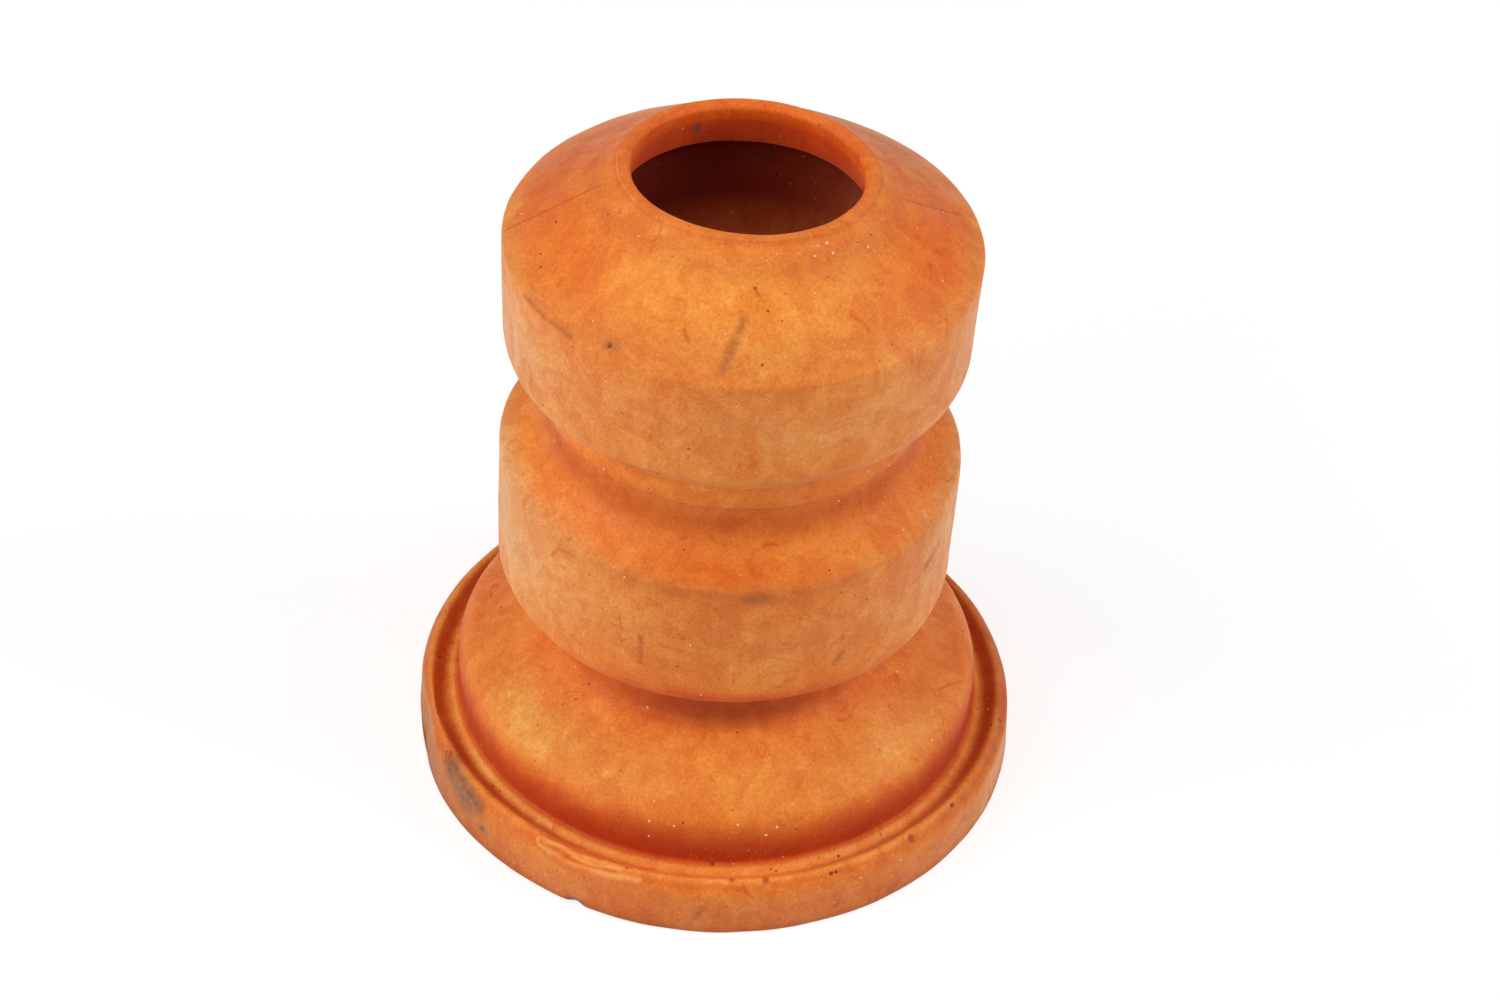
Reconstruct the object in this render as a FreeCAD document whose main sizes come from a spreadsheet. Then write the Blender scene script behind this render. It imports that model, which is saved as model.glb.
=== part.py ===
import FreeCAD, Part
import os
import Sketcher

# Suspension bump stop: one hollow moulding of microcellular polyurethane foam.
# It is a bellows turned about +Z.  A flange with a raised rim stands on the seat at z = 0; a dome, a lower
# bead and an upper bead rise from it, and a cone closes the top down to the lip that grips the damper rod.
# Origin: centre of the seat.  Units: millimetres.

PART_NAME = "bump_stop"

SIZES = (
    # Seat flange: wall, sloped shoulder and crest of the rim
    ("flange_radius", "30.0"),
    ("rim_wall", "4.8"),
    ("rim_draft", "0.35"),
    ("rim_slope_width", "0.85"),
    ("rim_slope_rise", "1.1"),
    ("rim_crest", "0.5"),
    # Channel between rim and dome, with the step along its inner side
    ("channel_flank", "1.3"),
    ("channel_depth", "1.3"),
    ("channel_step_width", "0.5"),
    ("channel_step_height", "0.85"),
    ("channel_ledge", "0.7"),
    # Dome
    ("dome_wall", "5.1"),
    ("dome_rise", "5.2"),
    ("dome_shoulder_round", "3.6"),
    # Lower groove and lower bead
    ("lower_neck_wall", "4.1"),
    ("lower_neck_height", "7.2"),
    ("lower_groove_depth", "4.6"),
    ("lower_bead_underside", "1.1"),
    ("lower_bead_wall", "11.8"),
    ("lower_bead_edge_width", "0.4"),
    ("lower_bead_edge_rise", "0.6"),
    ("lower_bead_crown", "2.2"),
    # Upper groove, its collar, and the upper bead
    ("upper_neck_wall", "4.4"),
    ("upper_neck_height", "4.3"),
    ("upper_groove_round", "3.0"),
    ("collar_step", "0.4"),
    ("collar_height", "2.5"),
    ("upper_groove_depth", "3.5"),
    ("upper_bead_underside", "3.2"),
    ("upper_bead_wall", "11.1"),
    ("upper_bead_draft", "0.2"),
    ("upper_bead_heel_round", "3.2"),
    # Top cone and lip
    ("cone_height", "7.4"),
    ("lip_width", "0.85"),
    ("lip_rise", "0.2"),
    ("lip_taper", "0.05"),
    # Rod throat with its lead-in, chamber and mouth
    ("rod_bore_radius", "10.4"),
    ("lead_in_width", "0.4"),
    ("lead_in_depth", "0.4"),
    ("grip_length", "1.6"),
    ("throat_flare", "0.9"),
    ("flare_length", "2.45"),
    ("undercut_width", "1.9"),
    ("undercut_drop", "0.7"),
    ("mouth_depth", "5.0"),
    ("mouth_flare", "3.0"),
)

# Half section, corner after corner, clockwise from the outer edge of the seat.
# Each corner has a place across and a place up.  A place is the corner that it is measured from (AXIS and
# SEAT are the sketch's own axes), the direction, and the size; with no size it is in line with that corner.
AXIS = "axis"
SEAT = "seat"
OUT, IN, UP, DOWN = 1, -1, 1, -1

HALF_SECTION = (
    ("seat_edge", (AXIS, OUT, "flange_radius"), (SEAT, UP, None)),
    ("rim_shoulder", ("seat_edge", IN, "rim_draft"), (SEAT, UP, "rim_wall")),
    ("rim_outer", ("rim_shoulder", IN, "rim_slope_width"), ("rim_shoulder", UP, "rim_slope_rise")),
    ("rim_inner", ("rim_outer", IN, "rim_crest"), ("rim_outer", UP, None)),
    ("channel_floor", ("rim_inner", IN, "channel_flank"), ("rim_inner", DOWN, "channel_depth")),
    ("channel_step", ("channel_floor", IN, "channel_step_width"), ("channel_floor", UP, "channel_step_height")),
    ("dome_foot", ("channel_step", IN, "channel_ledge"), ("channel_step", UP, None)),
    ("dome_shoulder", ("dome_foot", OUT, None), ("dome_foot", UP, "dome_wall")),
    ("lower_groove", ("chamber_roof", OUT, "lower_neck_wall"), ("dome_shoulder", UP, "dome_rise")),
    ("lower_neck_top", ("lower_groove", OUT, None), ("lower_groove", UP, "lower_neck_height")),
    ("lower_heel", ("lower_neck_top", OUT, "lower_groove_depth"), ("lower_neck_top", UP, "lower_bead_underside")),
    ("lower_wall_top", ("lower_heel", OUT, None), ("lower_heel", UP, "lower_bead_wall")),
    ("lower_edge", ("lower_wall_top", IN, "lower_bead_edge_width"), ("lower_wall_top", UP, "lower_bead_edge_rise")),
    ("upper_groove", ("chamber_roof", OUT, "upper_neck_wall"), ("lower_edge", UP, "lower_bead_crown")),
    ("upper_neck_top", ("upper_groove", OUT, None), ("upper_groove", UP, "upper_neck_height")),
    ("collar_bottom", ("upper_neck_top", OUT, "collar_step"), ("upper_neck_top", UP, None)),
    ("collar_top", ("collar_bottom", OUT, None), ("collar_bottom", UP, "collar_height")),
    ("upper_heel", ("collar_top", OUT, "upper_groove_depth"), ("collar_top", UP, "upper_bead_underside")),
    ("upper_edge", ("upper_heel", OUT, "upper_bead_draft"), ("upper_heel", UP, "upper_bead_wall")),
    ("lip_foot", ("lead_in_top", OUT, "lip_width"), ("upper_edge", UP, "cone_height")),
    ("lip_top", ("lip_foot", IN, "lip_taper"), ("lip_foot", UP, "lip_rise")),
    ("lead_in_top", ("grip_top", OUT, "lead_in_width"), ("lip_top", UP, None)),
    ("grip_top", (AXIS, OUT, "rod_bore_radius"), ("lead_in_top", DOWN, "lead_in_depth")),
    ("grip_bottom", ("grip_top", OUT, None), ("grip_top", DOWN, "grip_length")),
    ("throat_bottom", ("grip_bottom", OUT, "throat_flare"), ("grip_bottom", DOWN, "flare_length")),
    ("chamber_roof", ("throat_bottom", OUT, "undercut_width"), ("throat_bottom", DOWN, "undercut_drop")),
    ("mouth_top", ("chamber_roof", OUT, None), (SEAT, UP, "mouth_depth")),
    ("mouth_edge", ("mouth_top", OUT, "mouth_flare"), (SEAT, UP, None)),
)

# Corners of the half section that the mould rounds, and the size of each round
ROUNDS = (
    ("dome_shoulder", "dome_shoulder_round"),
    ("upper_groove", "upper_groove_round"),
    ("upper_heel", "upper_bead_heel_round"),
)


def build_sheet(doc):
    """Writes each size into a cell of its own and names the cell."""
    sheet = doc.addObject("Spreadsheet::Sheet", "Sizes")
    for row, (alias, value) in enumerate(SIZES, start=1):
        sheet.set(f"A{row}", alias)
        sheet.set(f"B{row}", value)
        sheet.setAlias(f"B{row}", alias)
    doc.recompute()
    return sheet


def corner_places(sheet):
    """The start place of every corner, as {corner: point}, from the sheet's sizes."""
    def distance(direction, size):
        return direction * float(sheet.get(size)) if size else 0.0

    across = {AXIS: 0.0}
    up = {SEAT: 0.0}
    waiting = list(HALF_SECTION)
    while waiting:
        name, (beside, side, width), (below, way, rise) = waiting.pop(0)
        if beside in across and name not in across:
            across[name] = across[beside] + distance(side, width)
        if below in up and name not in up:
            up[name] = up[below] + distance(way, rise)
        if name not in across or name not in up:
            waiting.append((name, (beside, side, width), (below, way, rise)))
    return {name: FreeCAD.Vector(across[name], up[name], 0) for name, _, _ in HALF_SECTION}


def bind(sketch, constraint, label, size):
    """Adds a constraint whose value is the named size."""
    sketch.addConstraint(constraint)
    sketch.renameConstraint(sketch.ConstraintCount - 1, label)
    sketch.setExpression(f"Constraints.{label}", f"Sizes.{size}")


def measure(sketch, name, place, kind, aligned, lines):
    """Ties one corner to the corner that it is measured from, by a named size or in line with it."""
    reference, direction, size = place
    start = (-1, 1) if reference in (AXIS, SEAT) else (lines[reference], 1)
    end = (lines[name], 1)
    if size is None:
        sketch.addConstraint(Sketcher.Constraint(aligned, *start, *end))
        return
    first, second = (start, end) if direction > 0 else (end, start)
    value = abs(float(sketch.Document.Sizes.get(size)))
    bind(sketch, Sketcher.Constraint(kind, *first, *second, value), f"{name}_{kind[-1].lower()}", size)


def draw_half_section(body, places):
    """The closed half section in the XZ plane: sketch X is the radius and sketch Y is the height."""
    sketch = body.newObject("Sketcher::SketchObject", "HalfSection")
    plane = next(item for item in body.Origin.OriginFeatures if item.Role == "XZ_Plane")
    sketch.AttachmentSupport = [(plane, "")]
    sketch.MapMode = "FlatFace"
    lines = {name: index for index, name in enumerate(places)}
    points = list(places.values())
    for start, end in zip(points, points[1:] + points[:1]):
        sketch.addGeometry(Part.LineSegment(start, end), False)
    for index in range(len(points)):
        following = (index + 1) % len(points)
        sketch.addConstraint(Sketcher.Constraint("Coincident", index, 2, following, 1))
    for name, across, up in HALF_SECTION:
        measure(sketch, name, across, "DistanceX", "Vertical", lines)
        measure(sketch, name, up, "DistanceY", "Horizontal", lines)
    return sketch


def round_corner(sketch, corner, place, size):
    """Replaces a corner by an arc of the named radius; the corner's own point stays to measure from."""
    sides = [index for index, item in enumerate(sketch.Geometry)
             if isinstance(item, Part.LineSegment)
             and (item.StartPoint.isEqual(place, 1e-5) or item.EndPoint.isEqual(place, 1e-5))]
    middles = [(sketch.Geometry[side].StartPoint + sketch.Geometry[side].EndPoint) / 2 for side in sides]
    radius = float(sketch.Document.Sizes.get(size))
    sketch.fillet(*sides, *middles, radius, True, True)
    arc = max(index for index, item in enumerate(sketch.Geometry) if isinstance(item, Part.ArcOfCircle))
    bind(sketch, Sketcher.Constraint("Radius", arc, radius), corner + "_round", size)


def build_bump_stop(doc, sheet):
    """The whole moulding: the half section turned once about Z."""
    body = doc.addObject("PartDesign::Body", "BumpStop")
    body.Label = PART_NAME
    places = corner_places(sheet)
    sketch = draw_half_section(body, places)
    doc.recompute()
    for corner, size in ROUNDS:
        round_corner(sketch, corner, places[corner], size)
    doc.recompute()
    bellows = body.newObject("PartDesign::Revolution", "Bellows")
    bellows.Profile = sketch
    bellows.ReferenceAxis = (sketch, ["V_Axis"])
    bellows.Angle = 360
    body.Tip = bellows
    body.Placement = FreeCAD.Placement()
    doc.recompute()
    return body


def check(doc, body):
    """Stops the build where an object failed or the moulding is no single valid solid."""
    for item in doc.Objects:
        if "Invalid" in item.State or "Error" in item.State:
            raise RuntimeError(f"{item.Name} failed: {item.State}")
    shape = body.Shape
    if shape.isNull() or not shape.isValid() or len(shape.Solids) != 1:
        raise RuntimeError(f"{body.Label} is not one valid solid")


def main():
    doc = FreeCAD.newDocument("SuspensionBumpStop")
    sheet = build_sheet(doc)
    body = build_bump_stop(doc, sheet)
    check(doc, body)
    os.makedirs("parts", exist_ok=True)
    body.Shape.exportStep(f"parts/{body.Label}.step")
    box = body.Shape.BoundBox
    print(f"{body.Label}: {box.XLength:.2f} x {box.YLength:.2f} x {box.ZLength:.2f} mm, "
          f"{body.Shape.Volume / 1000:.2f} cm3, {len(body.Shape.Faces)} faces")


main()
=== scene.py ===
import math

import bpy
import numpy as np
from mathutils import Matrix, Vector, noise
from mathutils.bvhtree import BVHTree


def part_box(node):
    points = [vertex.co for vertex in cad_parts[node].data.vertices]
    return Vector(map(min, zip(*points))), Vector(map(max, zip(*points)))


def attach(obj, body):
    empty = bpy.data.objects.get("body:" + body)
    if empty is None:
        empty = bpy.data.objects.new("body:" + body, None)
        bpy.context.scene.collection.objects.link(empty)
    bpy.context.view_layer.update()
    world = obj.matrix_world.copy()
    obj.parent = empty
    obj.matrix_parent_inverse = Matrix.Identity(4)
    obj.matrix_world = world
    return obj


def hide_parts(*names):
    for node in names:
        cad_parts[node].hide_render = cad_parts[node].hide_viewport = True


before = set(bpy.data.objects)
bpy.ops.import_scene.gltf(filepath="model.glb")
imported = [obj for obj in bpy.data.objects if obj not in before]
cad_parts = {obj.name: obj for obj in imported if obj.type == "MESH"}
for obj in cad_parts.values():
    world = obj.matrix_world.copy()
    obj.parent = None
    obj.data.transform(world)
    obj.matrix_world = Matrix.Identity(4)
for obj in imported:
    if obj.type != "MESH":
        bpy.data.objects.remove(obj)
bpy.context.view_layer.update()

MM = 0.001
LOW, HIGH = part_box("bump_stop")
FLANGE_RADIUS = HIGH.x / MM

# The photograph's camera, found by fitting the rims of the part: width of the image and focal length in
# pixels, place in millimetres from the centre of the seat, turns in degrees and width of the sensor
IMAGE_WIDTH = 1500
FOCAL_PIXELS = 3100.0
CAMERA_BACK = 225.37
CAMERA_HEIGHT = 223.80
CAMERA_PITCH = 40.885
CAMERA_YAW = 0.5665
CAMERA_ROLL = 4.0918
SENSOR_WIDTH = 36.0

# Half section of the moulding, clockwise from the outer edge of the seat: corner, radius, height and round in
# millimetres, then the spacing of the mesh's rows up to the next corner.
SECTION = (
    ("seat_edge", FLANGE_RADIUS, 0.0, 0.35, 0.35),
    ("rim_shoulder", 29.65, 4.8, 0.9, 0.25),
    ("rim_outer", 28.8, 5.9, 0.6, 0.25),
    ("rim_inner", 28.3, 5.9, 0.7, 0.25),
    ("channel_floor", 27.1, 4.7, 0.9, 0.25),
    ("channel_ridge", 26.5, 5.25, 0.9, 0.25),
    ("dome_foot", 25.85, 5.4, 0.4, 0.5),
    ("dome_shoulder", 25.8, 10.55, 3.6, 0.6),
    ("lower_groove", 17.3, 15.75, 1.0, 0.9),
    ("lower_neck_top", 17.3, 21.4, 0.8, 0.8),
    ("lower_heel", 21.9, 21.6, 2.8, 0.7),
    ("lower_edge", 21.85, 36.45, 0.7, 0.6),
    ("upper_groove", 17.6, 38.65, 3.0, 0.5),
    ("upper_neck_top", 17.6, 42.95, 0.0, 0.2),
    ("collar_bottom", 18.0, 42.95, 0.15, 0.5),
    ("collar_top", 18.0, 45.45, 0.0, 0.5),
    ("upper_heel", 21.5, 48.65, 3.2, 0.7),
    ("upper_edge", 21.7, 59.75, 0.45, 0.8),
    ("cone_top", 12.2, 66.75, 0.0, 0.12),
    ("lip_foot", 11.65, 67.15, 0.1, 0.2),
    ("lip_top", 11.6, 67.35, 0.12, 0.2),
    ("throat_top", 10.4, 67.35, 0.6, 0.4),
    ("grip_bottom", 10.4, 65.85, 1.5, 0.5),
    ("throat_bottom", 11.3, 62.9, 0.12, 0.6),
    ("chamber_roof", 13.2, 62.2, 0.6, 6.0),
    ("mouth_top", 13.2, 5.0, 0.8, 1.2),
    ("mouth_edge", 16.2, 0.0, 0.8, 2.5),
)

# The top leans a little to the back: where the lean starts and ends on the cone, and the fall at the lip
LEAN_ABOVE = 59.0
LEAN_FROM = 21.7
LEAN_TO = 11.6
LEAN_FALL = 0.53
LEAN_TOWARDS = math.radians(75.0)

# Broad colour factors of the moulding, most of them painted light and shade (marked below), as factors of the
# foam's colour: azimuth and half angle in degrees (None and 0 for the whole turn), then radius and its reach,
# height and its reach in millimetres. The camera is at -90.
PAINTED_LIGHT_AND_TINTS = (
    ("cone front", -95, 50, 16.0, 4.5, 64.0, 4.0, (1.10, 1.38, 1.60)),
    ("cone front low", -90, 45, 20.0, 2.4, 61.2, 2.0, (0.93, 1.00, 1.30)),
    ("cone left", -160, 38, 17.5, 4.5, 63.0, 4.0, (0.97, 0.75, 0.38)),
    ("cone right", -12, 34, 17.5, 4.5, 63.0, 4.0, (1.00, 0.66, 0.35)),
    # Painted shade on the back of the cone, turned away from the lamps
    ("cone back left", 155, 30, 17.0, 4.5, 63.0, 4.0, (0.85, 0.70, 0.60)),
    ("cone back right", 50, 40, 17.0, 4.5, 63.0, 4.0, (0.72, 0.68, 0.90)),
    # Painted sheen: the upper wall paler and bluer
    ("upper wall", None, 0, 21.6, 1.6, 54.5, 5.0, (0.95, 1.12, 1.90)),
    ("upper heel", None, 0, 20.0, 2.0, 47.5, 2.0, (0.95, 1.10, 1.30)),
    # Painted shade in the root under the upper bead
    ("upper root", None, 0, 17.6, 2.2, 41.0, 2.2, (0.74, 0.55, 0.40)),
    # Painted light on the lower bead's crown; painted shade at its front and edge, under the upper bead
    ("lower crown", -90, 75, 20.0, 2.0, 37.3, 1.8, (1.02, 1.20, 1.50)),
    ("lower crown front", -90, 20, 20.0, 1.6, 37.3, 1.6, (0.84, 0.62, 0.37)),
    ("lower crown left", -138, 25, 20.0, 2.0, 37.5, 1.6, (1.10, 1.12, 1.50)),
    ("lower edge", -90, 60, 21.8, 0.8, 36.0, 1.2, (0.84, 0.82, 0.85)),
    # Painted sheen: the lower wall paler and bluer, strongest at the sides
    ("lower wall", None, 0, 21.9, 1.6, 30.0, 5.5, (0.94, 1.08, 1.65)),
    ("wall left", -165, 32, 21.8, 1.6, 42.0, 22.0, (0.93, 1.46, 4.20)),
    ("wall right", -10, 30, 21.8, 1.6, 42.0, 22.0, (0.98, 1.42, 4.30)),
    # Painted shade on the lower heel's roll and in the neck under the lower bead
    ("lower heel", -86, 26, 21.4, 0.9, 22.9, 1.0, (0.82, 0.36, 0.14)),
    ("lower neck", None, 0, 17.3, 0.8, 17.4, 2.5, (0.86, 0.70, 0.62)),
    ("lower neck front", -88, 34, 17.3, 0.8, 17.3, 2.5, (0.56, 0.32, 0.20)),
    ("dome", -90, 75, 23.5, 3.2, 13.2, 3.0, (0.96, 1.14, 1.40)),
    ("dome front left", -140, 20, 23.8, 2.5, 12.6, 2.5, (1.05, 1.52, 2.10)),
    ("dome front right", -42, 22, 23.8, 2.5, 12.6, 2.5, (1.06, 1.28, 1.60)),
    ("dome left", -175, 40, 23.5, 3.2, 13.0, 3.2, (0.92, 0.76, 0.70)),
    ("dome right", -5, 40, 23.5, 3.2, 13.0, 3.2, (0.90, 0.76, 0.80)),
    # Painted shade at the dome's foot; a painted highlight on the channel's ridge
    ("dome foot", None, 0, 25.8, 0.45, 6.4, 3.1, (0.63, 0.22, 0.03)),
    ("channel ridge", None, 0, 26.55, 0.45, 5.2, 0.8, (1.00, 1.25, 1.80)),
    ("rim top", None, 0, 28.8, 1.2, 5.5, 0.7, (0.91, 0.72, 0.60)),
    # A painted highlight along the rim's crest
    ("crest", None, 0, 28.6, 0.50, 5.9, 0.4, (1.14, 1.70, 2.60)),
    # Painted shade in the crease at the foot of the lip
    ("lip crease", None, 0, 11.75, 0.22, 67.05, 0.4, (0.86, 0.80, 0.82)),
    # Painted shade on the rim's inner flank, beside the dome
    ("rim flank left", 180, 60, 27.5, 0.8, 5.2, 0.8, (0.82, 0.62, 0.55)),
    ("rim flank right", 0, 60, 27.5, 0.8, 5.2, 0.8, (0.76, 0.50, 0.55)),
    ("rim back right", 15, 52, 29.0, 1.2, 5.4, 1.0, (0.64, 0.42, 0.38)),
    ("rim back left", 160, 50, 29.0, 1.2, 5.4, 1.0, (0.88, 0.80, 0.80)),
    # Painted sheen on the flange's wall
    ("flange wall", None, 0, 30.0, 1.0, 2.0, 2.4, (0.84, 0.80, 1.30)),
    # Painted shadow along the flange's foot, where it meets the floor
    ("flange foot", None, 0, 30.0, 1.0, 0.0, 0.9, (0.64, 0.58, 0.60)),
    # More painted sheen on the flange's right
    ("flange wall right", -10, 25, 30.0, 1.0, 2.5, 3.0, (0.98, 1.42, 2.90)),
    ("flange wall left", 180, 25, 30.0, 1.0, 2.5, 3.0, (0.68, 0.82, 0.86)),
    ("flange wall front left", -155, 22, 30.0, 1.0, 2.5, 3.0, (0.80, 0.90, 0.90)),
    # More painted shade on the front-left flank, and a painted highlight on the ridge there
    ("rim flank front left", -145, 22, 28.0, 0.8, 5.5, 0.8, (0.90, 0.62, 0.40)),
    ("ridge front left", -140, 35, 26.55, 0.35, 5.2, 0.5, (1.03, 1.25, 1.60)),
    # Painted shade: the throat deeper and redder, most at its back
    ("throat", None, 0, 10.4, 1.1, 64.9, 2.6, (1.03, 0.52, 0.22)),
    ("throat flare", None, 0, 11.3, 0.6, 63.2, 1.6, (0.95, 0.50, 0.25)),
    ("throat back", 90, 50, 10.6, 0.8, 65.0, 2.0, (0.90, 0.56, 0.22)),
    # Painted shade under the throat: the chamber's roof nearly black
    ("chamber roof", None, 0, 13.2, 1.0, 58.8, 4.0, (0.06, 0.006, 0.004)),
    ("chamber", None, 0, 13.2, 1.4, 42.0, 14.0, (1.15, 1.00, 2.70)),
    # A painted pool of light on the chamber's far wall, where light falls in through the throat
    ("chamber right", 30, 32, 13.2, 1.0, 54.5, 5.0, (3.10, 10.5, 34.0)),
    ("chamber mouth", None, 0, 13.6, 1.4, 5.0, 18.0, (0.40, 0.24, 0.50)),
)

# Marks in the surface: azimuth, radius, height, reach and rise (down when negative), degrees and millimetres
DIMPLES = (
    ("rim pit", -77.9, 28.79, 5.84, 0.38, -0.34),
    ("rim pit", -65.3, 29.11, 5.49, 0.24, -0.28),
    ("rim pit", -64.2, 29.05, 5.54, 0.20, -0.22),
    ("rim pit", -88.2, 26.05, 5.39, 0.22, -0.25),
    ("rim bubble", -47.1, 29.00, 5.62, 0.75, 0.24),
    ("rim bubble middle", -47.1, 29.00, 5.62, 0.40, -0.50),
    ("rim pit", -34.9, 29.06, 5.56, 0.32, -0.28),
    ("rim pit", -8.7, 29.04, 5.58, 0.32, -0.28),
    ("rim bubble", -150.9, 28.90, 5.70, 0.80, 0.18),
    ("rim bubble middle", -150.9, 28.98, 5.66, 0.40, -0.50),
    ("shoulder dent", -164.0, 29.80, 4.40, 3.00, -0.35),
    ("flange dent", -168.0, 29.95, 2.20, 4.50, -0.55),
    ("seat chip", -113.5, 30.00, 0.05, 0.60, -0.40),
    ("lower wall nib", -98.2, 21.87, 30.66, 0.34, 0.25),
)
# Folds of the skin: reach and rise, then the path as azimuth, radius and height
FOLDS = (
    ("outer fold", 0.34, 0.32, ((-122.0, 29.09, 5.52), (-118.7, 29.51, 4.94), (-114.1, 29.54, 4.91),
                                (-108.0, 29.40, 5.09), (-102.0, 29.29, 5.24))),
    ("middle fold", 0.32, 0.30, ((-122.3, 29.0, 5.60), (-118.3, 28.81, 5.82), (-112.5, 29.12, 5.48),
                                 (-105.6, 28.92, 5.74))),
    ("inner fold", 0.40, -0.22, ((-121.0, 28.50, 5.88), (-115.6, 28.45, 5.88), (-110.0, 28.35, 5.88))),
    ("gap between folds", 0.22, -0.35, ((-120.0, 29.25, 5.40), (-114.0, 29.35, 5.25), (-106.5, 29.20, 5.42))),
)
# Slow waves of the whole skin: length and height
WAVES = ((7.0, 0.09), (2.4, 0.03))

ARC_STEP = math.radians(13.0)
FRONT_COLUMNS = 264
BACK_COLUMNS = 80
FRONT_HALF_ANGLE = math.radians(75.0)
SHARP_ANGLE = math.radians(50.0)


def rounded_section():
    """The section's points as rows of (radius, height), with each corner's arc and evenly spaced flats."""
    corners = [np.array(row[1:3]) for row in SECTION]
    count = len(corners)
    arcs = []
    for index, corner in enumerate(corners):
        before = corners[index - 1] - corner
        after = corners[(index + 1) % count] - corner
        lengths = np.linalg.norm(before), np.linalg.norm(after)
        before, after = before / lengths[0], after / lengths[1]
        turn = math.pi - math.acos(np.clip(before @ after, -1.0, 1.0))
        tangent = min(SECTION[index][3] * math.tan(turn / 2), 0.49 * min(lengths))
        if tangent < 1e-4:
            arcs.append([corner])
            continue
        radius = tangent / math.tan(turn / 2)
        bisector = (before + after) / np.linalg.norm(before + after)
        centre = corner + bisector * radius / math.cos(turn / 2)
        start = corner + before * tangent - centre
        side = 1.0 if before[0] * after[1] - before[1] * after[0] < 0 else -1.0
        steps = max(2, math.ceil(turn / ARC_STEP))
        arc = []
        for step in range(steps + 1):
            angle = side * turn * step / steps
            spin = np.array(((math.cos(angle), -math.sin(angle)), (math.sin(angle), math.cos(angle))))
            arc.append(centre + spin @ start)
        arcs.append(arc)
    points = []
    for index, arc in enumerate(arcs):
        points.extend(arc)
        start, end = arc[-1], arcs[(index + 1) % count][0]
        steps = max(1, round(float(np.linalg.norm(end - start)) / SECTION[index][4]))
        points.extend(start + (end - start) * step / steps for step in range(1, steps))
    return np.array(points)


def column_angles():
    """Azimuths of the mesh's columns, closest together on the side that the photograph shows."""
    front = np.linspace(-FRONT_HALF_ANGLE, FRONT_HALF_ANGLE, FRONT_COLUMNS, endpoint=False)
    back = np.linspace(FRONT_HALF_ANGLE, 2 * math.pi - FRONT_HALF_ANGLE, BACK_COLUMNS, endpoint=False)
    return np.concatenate((front, back)) - math.pi / 2


def cylinder_place(azimuth, radius, height):
    """A place in millimetres from its azimuth in degrees, radius and height."""
    angle = math.radians(azimuth)
    return np.array((radius * math.cos(angle), radius * math.sin(angle), height))


def segment_distance(places, start, end):
    """Distance of every place from a straight segment."""
    run = end - start
    along = np.clip((places - start) @ run / (run @ run), 0.0, 1.0)
    return np.linalg.norm(places - start - along[..., None] * run, axis=-1)


def relief(places):
    """How far the surface stands out of the turned shape at every place."""
    rise = np.zeros(places.shape[:-1])
    for _, azimuth, radius, height, reach, depth in DIMPLES:
        distance = np.linalg.norm(places - cylinder_place(azimuth, radius, height), axis=-1)
        rise += depth * np.exp(-(distance / reach) ** 2)
    for _, reach, depth, path in FOLDS:
        points = [cylinder_place(*point) for point in path]
        distance = np.min([segment_distance(places, *pair) for pair in zip(points, points[1:])], axis=0)
        rise += depth * np.exp(-(distance / reach) ** 2)
    flat = places.reshape(-1, 3)
    for length, depth in WAVES:
        waves = [noise.noise(Vector(place / length)) for place in flat]
        rise += depth * np.array(waves).reshape(rise.shape)
    return rise


def painted_light_and_tints(azimuths, radius, height):
    """The colour factor of every place, with its painted light and shade."""
    painted_light_and_tone = np.ones(radius.shape + (3,))
    for _, azimuth, half_angle, at_radius, across, at_height, up, factor in PAINTED_LIGHT_AND_TINTS:
        weight = np.exp(-((radius - at_radius) / across) ** 2 - ((height - at_height) / up) ** 2)
        if azimuth is not None:
            turn = (np.degrees(azimuths) - azimuth + 180.0) % 360.0 - 180.0
            weight = weight * np.exp(-(turn / half_angle) ** 2)
        painted_light_and_tone *= np.array(factor) ** weight[..., None]
    return painted_light_and_tone


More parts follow.
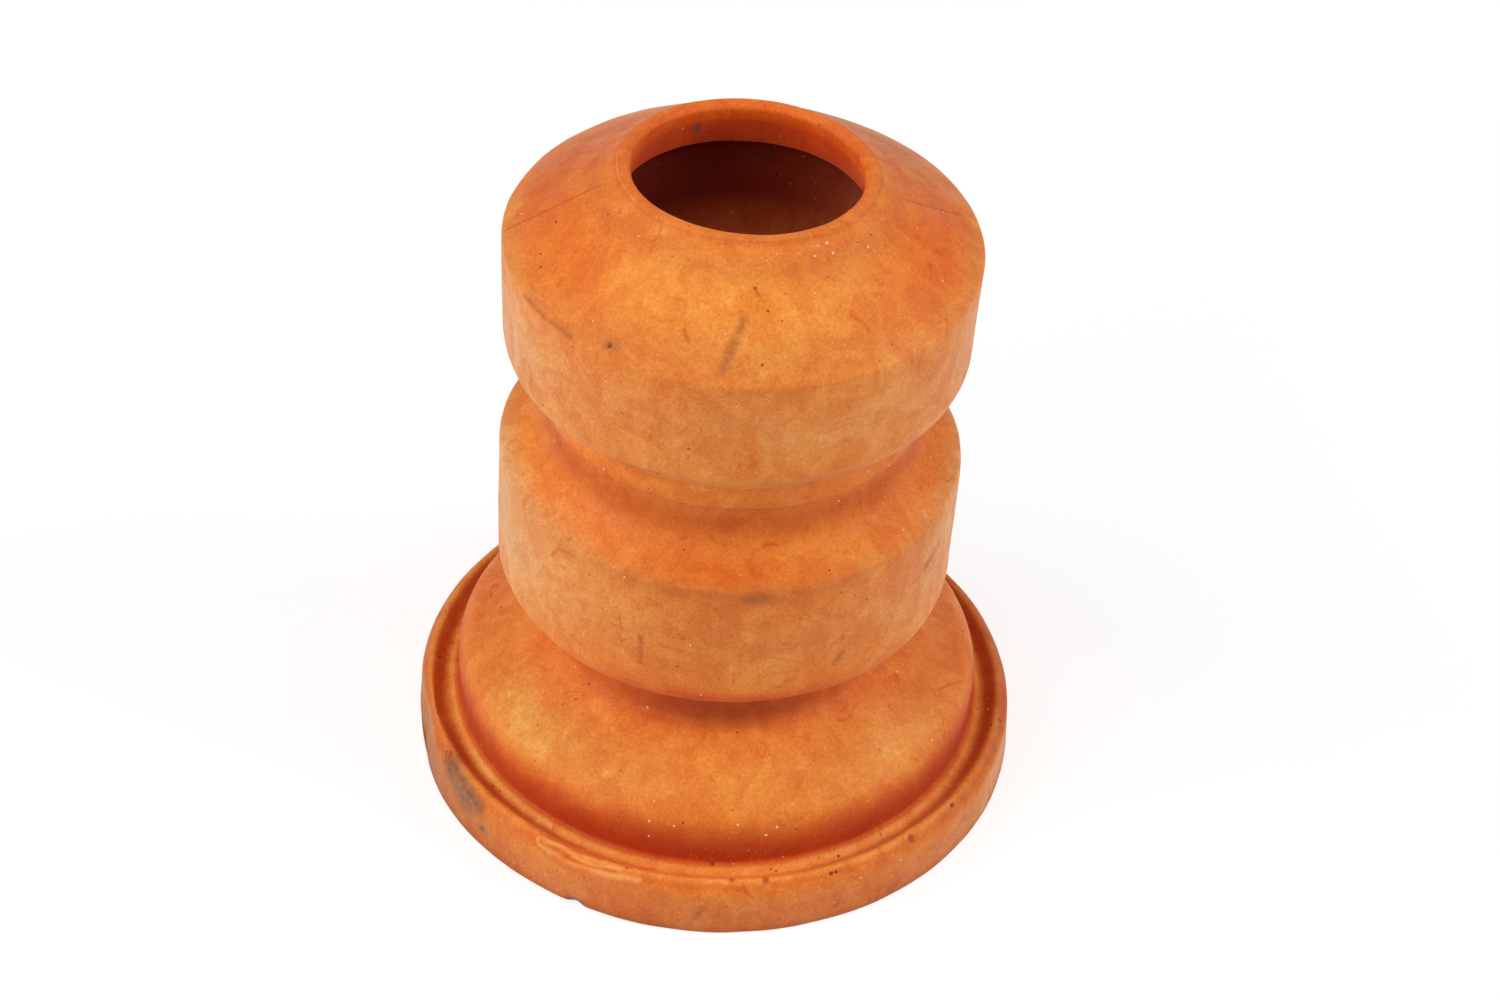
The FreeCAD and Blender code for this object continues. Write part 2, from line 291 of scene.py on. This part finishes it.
def moulding_mesh():
    """The moulding's skin: the section turned about Z, with its marks and its leaning top."""
    section = rounded_section()
    angles = column_angles()
    rows, columns = len(section), len(angles)
    radius = np.repeat(section[:, 0], columns).reshape(rows, columns)
    height = np.repeat(section[:, 1], columns).reshape(rows, columns)
    # Colour factors for every vertex, painted light and shade among them
    painted_light_and_tone = painted_light_and_tints(np.broadcast_to(angles, radius.shape), radius, height)
    lean = np.clip((LEAN_FROM - radius) / (LEAN_FROM - LEAN_TO), 0.0, 1.0) * (height > LEAN_ABOVE)
    height = height - LEAN_FALL * lean * np.cos(angles - LEAN_TOWARDS)
    places = np.stack((radius * np.cos(angles), radius * np.sin(angles), height), axis=2)
    along = np.roll(section, -1, axis=0) - np.roll(section, 1, axis=0)
    along = along / np.linalg.norm(along, axis=1)[:, None]
    outward = np.stack((along[:, 1:] * np.cos(angles), along[:, 1:] * np.sin(angles),
                        np.repeat(-along[:, :1], columns, axis=1)), axis=2)
    places = places + outward * relief(places)[..., None]
    row, column = np.meshgrid(np.arange(rows), np.arange(columns), indexing="ij")
    next_row, next_column = (row + 1) % rows, (column + 1) % columns
    faces = np.stack((row * columns + column, row * columns + next_column,
                      next_row * columns + next_column, next_row * columns + column), axis=2)
    mesh = bpy.data.meshes.new("moulding")
    mesh.from_pydata((places * MM).reshape(-1, 3).tolist(), [], faces.reshape(-1, 4).tolist())
    colours = np.concatenate((painted_light_and_tone, np.ones(radius.shape + (1,))), axis=2)
    mesh.attributes.new("painted_light_and_tone", "FLOAT_COLOR", "POINT").data.foreach_set("color", colours.ravel())
    mesh.shade_smooth()
    mesh.set_sharp_from_angle(angle=SHARP_ANGLE)
    return mesh


FOAM = (0.80, 0.218, 0.021)
FOAM_ROUGHNESS = 0.58
FOAM_IOR = 1.34
FOAM_SHEEN = 0.05
FOAM_SHEEN_ROUGHNESS = 0.5
ROUGHNESS_SPREAD = 0.07
GRAIN_SIZE = 0.45
GRAIN_DEPTH = 0.06 * MM
GRAIN_STRENGTH = 0.4
PIT_BROWN = (0.13, 0.012, 0.001)
BLISTER_RED = (0.42, 0.060, 0.006)
GRIME_GREY = (0.13, 0.075, 0.045)
SMUDGE_BROWN = (0.34, 0.080, 0.016)
DUST_WHITE = (0.92, 0.72, 0.56)

# Mottling: size in millimetres, stretch along the axis, how far it is drawn out, the noise value between red
# and pale, half the width of the change, then the two factors
MOTTLES = (
    (12.0, 1.0, 0.8, 0.50, 0.16, (0.97, 0.86, 0.78), (1.03, 1.10, 1.20)),
    (4.5, 1.0, 1.6, 0.50, 0.12, (0.96, 0.86, 0.76), (1.03, 1.10, 1.25)),
    (1.6, 3.0, 0.6, 0.50, 0.16, (0.97, 0.92, 0.87), (1.02, 1.06, 1.12)),
    (1.7, 1.2, 1.0, 0.34, 0.07, (0.90, 0.66, 0.48), (1.00, 1.00, 1.00)),
    (1.2, 1.0, 1.6, 0.64, 0.06, (1.00, 1.00, 1.00), (1.05, 1.22, 1.55)),
    (0.28, 1.0, 0.0, 0.50, 0.20, (0.92, 0.85, 0.78), (1.06, 1.13, 1.28)),
)

# Small dark pits: azimuth, radius and height, then size
PITS = (
    (-88.2, 26.05, 5.39, 0.20), (-76.0, 26.68, 5.05, 0.12), (-75.0, 26.84, 4.87, 0.12),
    (-65.3, 29.11, 5.49, 0.20), (-64.2, 29.05, 5.54, 0.16), (-61.5, 26.79, 4.91, 0.16),
    (-11.1, 28.28, 5.83, 0.16), (-8.7, 29.04, 5.58, 0.22), (-179.1, 27.85, 5.44, 0.14),
    (-162.9, 28.30, 5.84, 0.14), (-163.4, 25.85, 5.66, 0.13), (-152.1, 29.15, 5.43, 0.17),
    (-140.7, 27.96, 5.55, 0.18), (-140.3, 27.06, 4.79, 0.15), (-138.2, 26.91, 4.82, 0.14),
    (-94.8, 25.46, 10.07, 0.12), (-121.1, 20.85, 60.4, 0.22), (-81.4, 16.35, 63.95, 0.12),
    (-83.6, 20.03, 61.05, 0.14), (-153.5, 19.51, 61.43, 0.15), (-165.0, 17.12, 63.24, 0.13),
    (-157.5, 19.04, 61.78, 0.13), (-34.9, 29.06, 5.56, 0.16), (-16.4, 29.34, 5.19, 0.14),
)
# Red blisters, in the same way
BLISTERS = (
    (-77.9, 28.79, 5.84, 0.42), (-84.3, 28.42, 5.88, 0.35), (-47.1, 29.0, 5.62, 0.50),
    (-34.9, 29.06, 5.56, 0.34), (-150.9, 28.98, 5.66, 0.45),
)
# Grey dirt on the rim: width, then the path
GRIME = (
    (1.35, ((-149.5, 29.3, 5.0), (-145.0, 29.66, 4.2), (-140.5, 29.68, 3.9))),
    (0.80, ((-149.0, 29.1, 5.40), (-142.0, 29.4, 5.0), (-137.5, 29.66, 4.6))),
    (0.40, ((-136.5, 29.83, 2.36), (-136.0, 29.83, 2.6))),
    (0.45, ((117.1, 10.73, 64.4), (118.0, 10.6, 65.0))),
    (0.45, ((-112.5, 29.95, 0.5), (-114.5, 29.95, 0.5))),
)
# Brown smudges and streaks
SMUDGES = (
    (0.60, ((-88.4, 17.06, 63.4), (-93.3, 20.65, 60.57))),
    (0.95, ((-83.5, 21.84, 35.6), (-79.5, 21.7, 36.0))),
    (0.30, ((-150.0, 21.62, 59.8), (-141.0, 21.62, 59.8), (-131.0, 21.60, 59.8))),
    (0.70, ((-121.6, 20.85, 60.4), (-120.0, 20.85, 60.4))),
    (0.70, ((-29.9, 21.87, 31.5), (-24.4, 21.86, 32.45))),
    (0.42, ((-108.7, 21.88, 26.2), (-108.7, 21.88, 29.5))),
    (0.50, ((-60.0, 21.88, 26.0), (-58.5, 21.88, 27.0))),
    (0.60, ((-90.5, 29.95, 2.0), (-90.0, 29.95, 3.2))),
    (0.35, ((-117.2, 20.89, 48.18), (-106.4, 21.12, 48.53))),
)
# Painted highlights on the backs of the folds of the rim's skin, and painted shade between them
FOLD_HIGHLIGHT = (1.00, 0.42, 0.11)
FOLD_SHADE = (0.62, 0.13, 0.012)
FOLD_HIGHLIGHT_PATHS = (
    (0.36, ((-122.0, 29.09, 5.52), (-118.7, 29.51, 4.94), (-114.1, 29.54, 4.91), (-108.0, 29.40, 5.09),
            (-102.0, 29.29, 5.24))),
    (0.34, ((-122.3, 29.0, 5.60), (-118.3, 28.81, 5.82), (-112.5, 29.12, 5.48), (-105.6, 28.92, 5.74))),
    (0.34, ((-113.0, 28.80, 5.80), (-108.5, 28.78, 5.83))),
)
FOLD_SHADE_PATHS = (
    (0.26, ((-120.0, 29.25, 5.40), (-114.0, 29.35, 5.25), (-106.5, 29.20, 5.42), (-100.0, 29.15, 5.45))),
    (0.24, ((-122.5, 29.3, 5.3), (-119.0, 29.66, 4.5), (-112.0, 29.66, 4.5))),
    (0.30, ((-121.0, 28.45, 5.85), (-115.6, 28.40, 5.85), (-104.0, 28.35, 5.85))),
)
# Red veins and scratches
VEINS = (
    (0.14, ((-18.5, 23.13, 12.18), (-11.1, 24.81, 11.01))),
    (0.20, ((-104.5, 18.2, 62.5), (-102.5, 18.9, 61.9))),
    (0.16, ((-85.5, 14.8, 65.2), (-83.8, 15.3, 64.7))),
    (0.16, ((-175.4, 21.34, 60.0), (-168.3, 13.14, 66.25))),
    (0.14, ((-2.4, 14.0, 65.33), (10.1, 19.62, 61.23))),
    (0.22, ((-135.5, 21.86, 33.75), (-130.6, 21.39, 36.67))),
)
# White specks of dust
SPECKS = (
    (-102.0, 25.61, 9.69, 0.13), (-96.6, 25.62, 9.66, 0.12), (-101.8, 25.82, 7.89, 0.13),
    (-83.2, 25.43, 10.14, 0.12), (-74.8, 25.63, 9.66, 0.15), (-77.1, 25.78, 8.9, 0.16),
    (-54.5, 12.3, 66.97, 0.14), (-53.9, 13.09, 66.36, 0.13), (-61.6, 12.95, 66.52, 0.12),
    (-38.6, 13.74, 65.77, 0.13), (-124.0, 21.15, 48.6, 0.14), (-36.6, 18.0, 43.1, 0.14),
    (125.8, 10.49, 65.2, 0.13), (-150.6, 28.9, 5.7, 0.13),
)


def add(tree, kind, inputs, output=0, **settings):
    """Adds a shader node, sets it and its inputs, and gives back one of its outputs."""
    node = tree.nodes.new("ShaderNode" + kind)
    for name, value in settings.items():
        setattr(node, name, value)
    for name, value in inputs.items():
        if isinstance(value, bpy.types.NodeSocket):
            tree.links.new(value, node.inputs[name])
        else:
            node.inputs[name].default_value = value
    return node.outputs[output]


def maths(tree, operation, first, second=0.0):
    """One sum of two values."""
    return add(tree, "Math", {0: first, 1: second}, operation=operation)


def ramp(tree, value, start, end, low=0.0, high=1.0):
    """A value taken smoothly from one range to another."""
    inputs = {"Value": value, "From Min": start, "From Max": end, "To Min": low, "To Max": high}
    return add(tree, "MapRange", inputs, interpolation_type="SMOOTHSTEP")


def tinted(tree, mode, amount, under, over):
    """One colour laid over another."""
    def colour(value):
        return value if isinstance(value, bpy.types.NodeSocket) else (*value, 1.0)
    inputs = {0: amount, 6: colour(under), 7: colour(over)}
    return add(tree, "Mix", inputs, output=2, data_type="RGBA", blend_type=mode)


def cloud(tree, place, size, detail=2.0, roughness=0.5, wisps=0.0):
    """Noise of a given size in millimetres, about 0.5 in the middle, drawn out into wisps if wanted."""
    inputs = {"Vector": place, "Scale": 1.0 / size, "Detail": detail, "Roughness": roughness,
              "Distortion": wisps}
    return add(tree, "TexNoise", inputs)


def speckle(tree, place, spacing, size, share):
    """Small scattered dots: spacing and size in millimetres, and the share of places that have one."""
    cell = tree.nodes.new("ShaderNodeTexVoronoi")
    cell.inputs["Scale"].default_value = 1.0 / spacing
    tree.links.new(place, cell.inputs["Vector"])
    chance = add(tree, "SeparateColor", {0: cell.outputs["Color"]})
    chosen = maths(tree, "LESS_THAN", chance, share)
    width = ramp(tree, chance, 0.0, share, 1.0, 0.5)
    distance = maths(tree, "DIVIDE", cell.outputs["Distance"], width)
    dot = ramp(tree, distance, size / spacing, 0.4 * size / spacing)
    return maths(tree, "MULTIPLY", dot, chosen)


def spots(tree, place, skin, points):
    """One mask for a list of spots on the skin."""
    nearest = None
    for azimuth, radius, height, size in points:
        centre = skin.find_nearest(Vector(cylinder_place(azimuth, radius, height)) * MM)[0] / MM
        away = add(tree, "VectorMath", {0: place, 1: centre}, output=1, operation="DISTANCE")
        away = maths(tree, "DIVIDE", away, size)
        nearest = away if nearest is None else maths(tree, "MINIMUM", nearest, away)
    return nearest


def strokes(tree, place, skin, paths):
    """The distance to the nearest of a list of strokes along the skin, in widths of that stroke."""
    nearest = None
    for width, path in paths:
        points = [skin.find_nearest(Vector(cylinder_place(*point)) * MM)[0] / MM for point in path]
        for start, end in zip(points, points[1:]):
            run = end - start
            offset = add(tree, "VectorMath", {0: place, 1: start}, operation="SUBTRACT")
            share = {0: offset, 1: run / run.dot(run)}
            along = add(tree, "VectorMath", share, output=1, operation="DOT_PRODUCT")
            along = add(tree, "Clamp", {0: along})
            foot = add(tree, "VectorMath", {0: run, "Scale": along}, operation="SCALE")
            away = add(tree, "VectorMath", {0: offset, 1: foot}, output=1, operation="DISTANCE")
            away = maths(tree, "DIVIDE", away, width)
            nearest = away if nearest is None else maths(tree, "MINIMUM", nearest, away)
    return nearest


def rough_edge(tree, distance, wobble, start, end, amount):
    """A mark's strength: full within `end` widths, gone at `start`, with an edge broken by noise."""
    distance = maths(tree, "ADD", distance, wobble)
    return maths(tree, "MULTIPLY", ramp(tree, distance, start, end), amount)


def make_foam(skin):
    """Orange moulded foam skin: blotches, grain, pits, dust, dirt and scratches, with painted light and
    shade.
    """
    material = bpy.data.materials.new("orange_foam")
    material.use_nodes = True
    tree = material.node_tree
    shader = tree.nodes["Principled BSDF"]
    place = add(tree, "TexCoord", {}, output=3)
    place = add(tree, "VectorMath", {0: place, "Scale": 1.0 / MM}, operation="SCALE")
    # The colour factors from the mesh, painted light and shade among them
    painted_light_and_tone = add(tree, "Attribute", {}, attribute_name="painted_light_and_tone")

    colour = tinted(tree, "MULTIPLY", 1.0, FOAM, painted_light_and_tone)
    for size, stretch, wisps, share, edge, red, pale in MOTTLES:
        along = add(tree, "VectorMath", {0: place, 1: (1.0, 1.0, 1.0 / stretch)}, operation="MULTIPLY")
        pattern = ramp(tree, cloud(tree, along, size, 4.0, 0.6, wisps), share - edge, share + edge)
        colour = tinted(tree, "MULTIPLY", 1.0, colour, tinted(tree, "MIX", pattern, red, pale))
    grain = cloud(tree, place, GRAIN_SIZE, 3.0, 0.7)
    veils = cloud(tree, place, 3.0, 3.0, 0.6)

    wobble = add(tree, "Math", {0: cloud(tree, place, 0.8, 3.0, 0.7), 1: 0.5}, operation="SUBTRACT")
    wobble = maths(tree, "MULTIPLY", wobble, 1.6)
    blisters = rough_edge(tree, spots(tree, place, skin, BLISTERS), wobble, 1.3, 0.4, 0.9)
    pits = rough_edge(tree, spots(tree, place, skin, PITS), wobble, 1.3, 0.5, 0.85)
    specks = rough_edge(tree, spots(tree, place, skin, SPECKS), 0.0, 1.1, 0.5, 0.8)
    broken = ramp(tree, cloud(tree, place, 1.1, 4.0, 0.65), 0.30, 0.55, 0.35, 1.0)
    streaky = ramp(tree, cloud(tree, place, 0.7, 4.0, 0.7), 0.28, 0.68, 0.45, 1.0)
    frayed = maths(tree, "MULTIPLY", wobble, 0.6)
    grime = rough_edge(tree, strokes(tree, place, skin, GRIME), frayed, 1.6, -0.1, 0.96)
    grime = maths(tree, "MULTIPLY", grime, streaky)
    smudges = rough_edge(tree, strokes(tree, place, skin, SMUDGES), wobble, 1.4, -0.4, 0.8)
    smudges = maths(tree, "MULTIPLY", smudges, broken)
    # Painted highlights on the backs of the rim's folds and painted shade in the gaps between them
    fold_highlights = rough_edge(tree, strokes(tree, place, skin, FOLD_HIGHLIGHT_PATHS), wobble, 1.5, 0.1, 0.6)
    fold_shade = rough_edge(tree, strokes(tree, place, skin, FOLD_SHADE_PATHS), wobble, 1.5, 0.1, 0.6)
    veins = rough_edge(tree, strokes(tree, place, skin, VEINS), wobble, 1.5, 0.0, 0.6)
    pores = maths(tree, "MULTIPLY", speckle(tree, place, 1.2, 0.17, 0.32), 0.75)
    dust = maths(tree, "MULTIPLY", speckle(tree, place, 1.25, 0.13, 0.32), 0.8)
    drifts = ramp(tree, cloud(tree, place, 7.0, 2.0, 0.5), 0.52, 0.66)
    powder = maths(tree, "MULTIPLY", speckle(tree, place, 0.7, 0.10, 0.6), drifts)
    powder = maths(tree, "MULTIPLY", powder, 0.55)
    for amount, over in ((fold_shade, FOLD_SHADE), (fold_highlights, FOLD_HIGHLIGHT), (smudges, SMUDGE_BROWN),
                         (grime, GRIME_GREY), (veins, BLISTER_RED), (blisters, BLISTER_RED),
                         (pits, PIT_BROWN), (pores, PIT_BROWN), (powder, DUST_WHITE), (dust, DUST_WHITE),
                         (specks, DUST_WHITE)):
        colour = tinted(tree, "MIX", amount, colour, over)
    tree.links.new(colour, shader.inputs["Base Color"])

    smoothest, roughest = FOAM_ROUGHNESS - ROUGHNESS_SPREAD, FOAM_ROUGHNESS + ROUGHNESS_SPREAD
    rough = ramp(tree, veils, 0.3, 0.7, smoothest, roughest)
    tree.links.new(rough, shader.inputs["Roughness"])
    shader.inputs["IOR"].default_value = FOAM_IOR
    shader.inputs["Sheen Weight"].default_value = FOAM_SHEEN
    shader.inputs["Sheen Roughness"].default_value = FOAM_SHEEN_ROUGHNESS
    bump = add(tree, "Bump", {"Height": grain, "Strength": GRAIN_STRENGTH, "Distance": GRAIN_DEPTH})
    tree.links.new(bump, shader.inputs["Normal"])
    return material


def make_bump_stop():
    """The one piece of the object, in place of the plain solid."""
    mesh = moulding_mesh()
    skin = BVHTree.FromPolygons([vertex.co for vertex in mesh.vertices],
                                [tuple(face.vertices) for face in mesh.polygons])
    mesh.materials.append(make_foam(skin))
    piece = bpy.data.objects.new("bump_stop_skin", mesh)
    bpy.context.scene.collection.objects.link(piece)
    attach(piece, "root")
    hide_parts("bump_stop")
    return piece


def white_where_seen(tree, seen, unseen):
    """A node value that is `seen` for camera, glossy and transmission rays and `unseen` for the rest."""
    path = tree.nodes.new("ShaderNodeLightPath")
    shown = maths(tree, "MAXIMUM", path.outputs["Is Camera Ray"], path.outputs["Is Glossy Ray"])
    shown = maths(tree, "MAXIMUM", shown, path.outputs["Is Transmission Ray"])
    return add(tree, "MapRange", {"Value": shown, "To Min": unseen, "To Max": seen})


WORLD_LIGHT = 0.12


def make_world():
    """White all round: a plain even light, seen as white."""
    world = bpy.data.worlds.new("studio")
    world.use_nodes = True
    tree = world.node_tree
    background = tree.nodes["Background"]
    background.inputs["Color"].default_value = (1.0, 1.0, 1.0, 1.0)
    tree.links.new(white_where_seen(tree, 1.0, WORLD_LIGHT), background.inputs["Strength"])
    bpy.context.scene.world = world


# Soft boxes: name, direction from the part and power in watts
LAMPS = (
    ("top", (0.0, 0.0, 1.0), 0.33),
    ("fronttop", (0.0, -0.6, 0.8), 0.40),
    ("left", (-0.85, -0.1, 0.5), 1.24),
    ("right", (0.85, -0.1, 0.5), 1.60),
    ("frontleft", (-0.6, -0.6, 0.5), 0.92),
)
LAMP_DISTANCE = 0.55
LAMP_SIZE = 0.35


def make_lamps():
    """Soft boxes round the part."""
    target = Vector((0.0, 0.0, 0.035))
    for name, direction, watts in LAMPS:
        data = bpy.data.lights.new(name, "AREA")
        data.shape = "DISK"
        data.size = LAMP_SIZE
        data.energy = watts
        lamp = bpy.data.objects.new(name, data)
        lamp.location = target + Vector(direction).normalized() * LAMP_DISTANCE
        lamp.rotation_mode = "QUATERNION"
        lamp.rotation_quaternion = (target - lamp.location).to_track_quat("-Z", "Y")
        bpy.context.scene.collection.objects.link(lamp)


FLOOR_SIZE = 4.0
FLOOR_DROP = 0.05 * MM
FLOOR_GREY = (0.92, 0.92, 0.92, 1.0)
FLOOR_SEEN_WHITE = 0.6
FLOOR_WHITE = 1.2
FLOOR_FADE_FROM = 0.10
FLOOR_FADE_TO = 0.45


def make_floor():
    """A white floor that keeps a soft shadow."""
    mesh = bpy.data.meshes.new("floor")
    half = FLOOR_SIZE / 2
    corners = [(-half, -half, 0), (half, -half, 0), (half, half, 0), (-half, half, 0)]
    mesh.from_pydata(corners, [], [(0, 1, 2, 3)])
    material = bpy.data.materials.new("floor_white")
    material.use_nodes = True
    tree = material.node_tree
    tree.nodes.clear()
    shaded = add(tree, "BsdfDiffuse", {"Color": FLOOR_GREY})
    white = add(tree, "Emission", {"Strength": FLOOR_WHITE})
    distance = add(tree, "VectorMath", {0: add(tree, "TexCoord", {}, output=3)}, output=1, operation="LENGTH")
    far = ramp(tree, distance, FLOOR_FADE_FROM, FLOOR_FADE_TO, FLOOR_SEEN_WHITE, 1.0)
    seen = maths(tree, "MULTIPLY", white_where_seen(tree, 1.0, 0.0), far)
    surface = add(tree, "MixShader", {"Fac": seen, 1: shaded, 2: white})
    tree.links.new(surface, tree.nodes.new("ShaderNodeOutputMaterial").inputs["Surface"])
    mesh.materials.append(material)
    floor = bpy.data.objects.new("floor", mesh)
    floor.location.z = LOW.z - FLOOR_DROP
    bpy.context.scene.collection.objects.link(floor)


def make_camera():
    """The photograph's own view of the part."""
    pitch, yaw, roll = (math.radians(angle) for angle in (CAMERA_PITCH, CAMERA_YAW, CAMERA_ROLL))
    forward = Vector((math.sin(yaw) * math.cos(pitch), math.cos(yaw) * math.cos(pitch), -math.sin(pitch)))
    level = Vector((math.cos(yaw), -math.sin(yaw), 0.0))
    upright = level.cross(forward)
    right = level * math.cos(roll) + upright * math.sin(roll)
    up = upright * math.cos(roll) - level * math.sin(roll)
    data = bpy.data.cameras.new("camera")
    data.sensor_width = SENSOR_WIDTH
    data.lens = FOCAL_PIXELS / IMAGE_WIDTH * SENSOR_WIDTH
    data.clip_start = 0.01
    data.clip_end = 20.0
    camera = bpy.data.objects.new("camera", data)
    turn = Matrix((right, up, -forward)).transposed().to_4x4()
    camera.matrix_world = Matrix.Translation(Vector((0.0, -CAMERA_BACK, CAMERA_HEIGHT)) * MM) @ turn
    bpy.context.scene.collection.objects.link(camera)
    bpy.context.scene.camera = camera


make_bump_stop()
make_floor()
make_world()
make_lamps()
make_camera()
bpy.context.scene.view_settings.view_transform = "Standard"
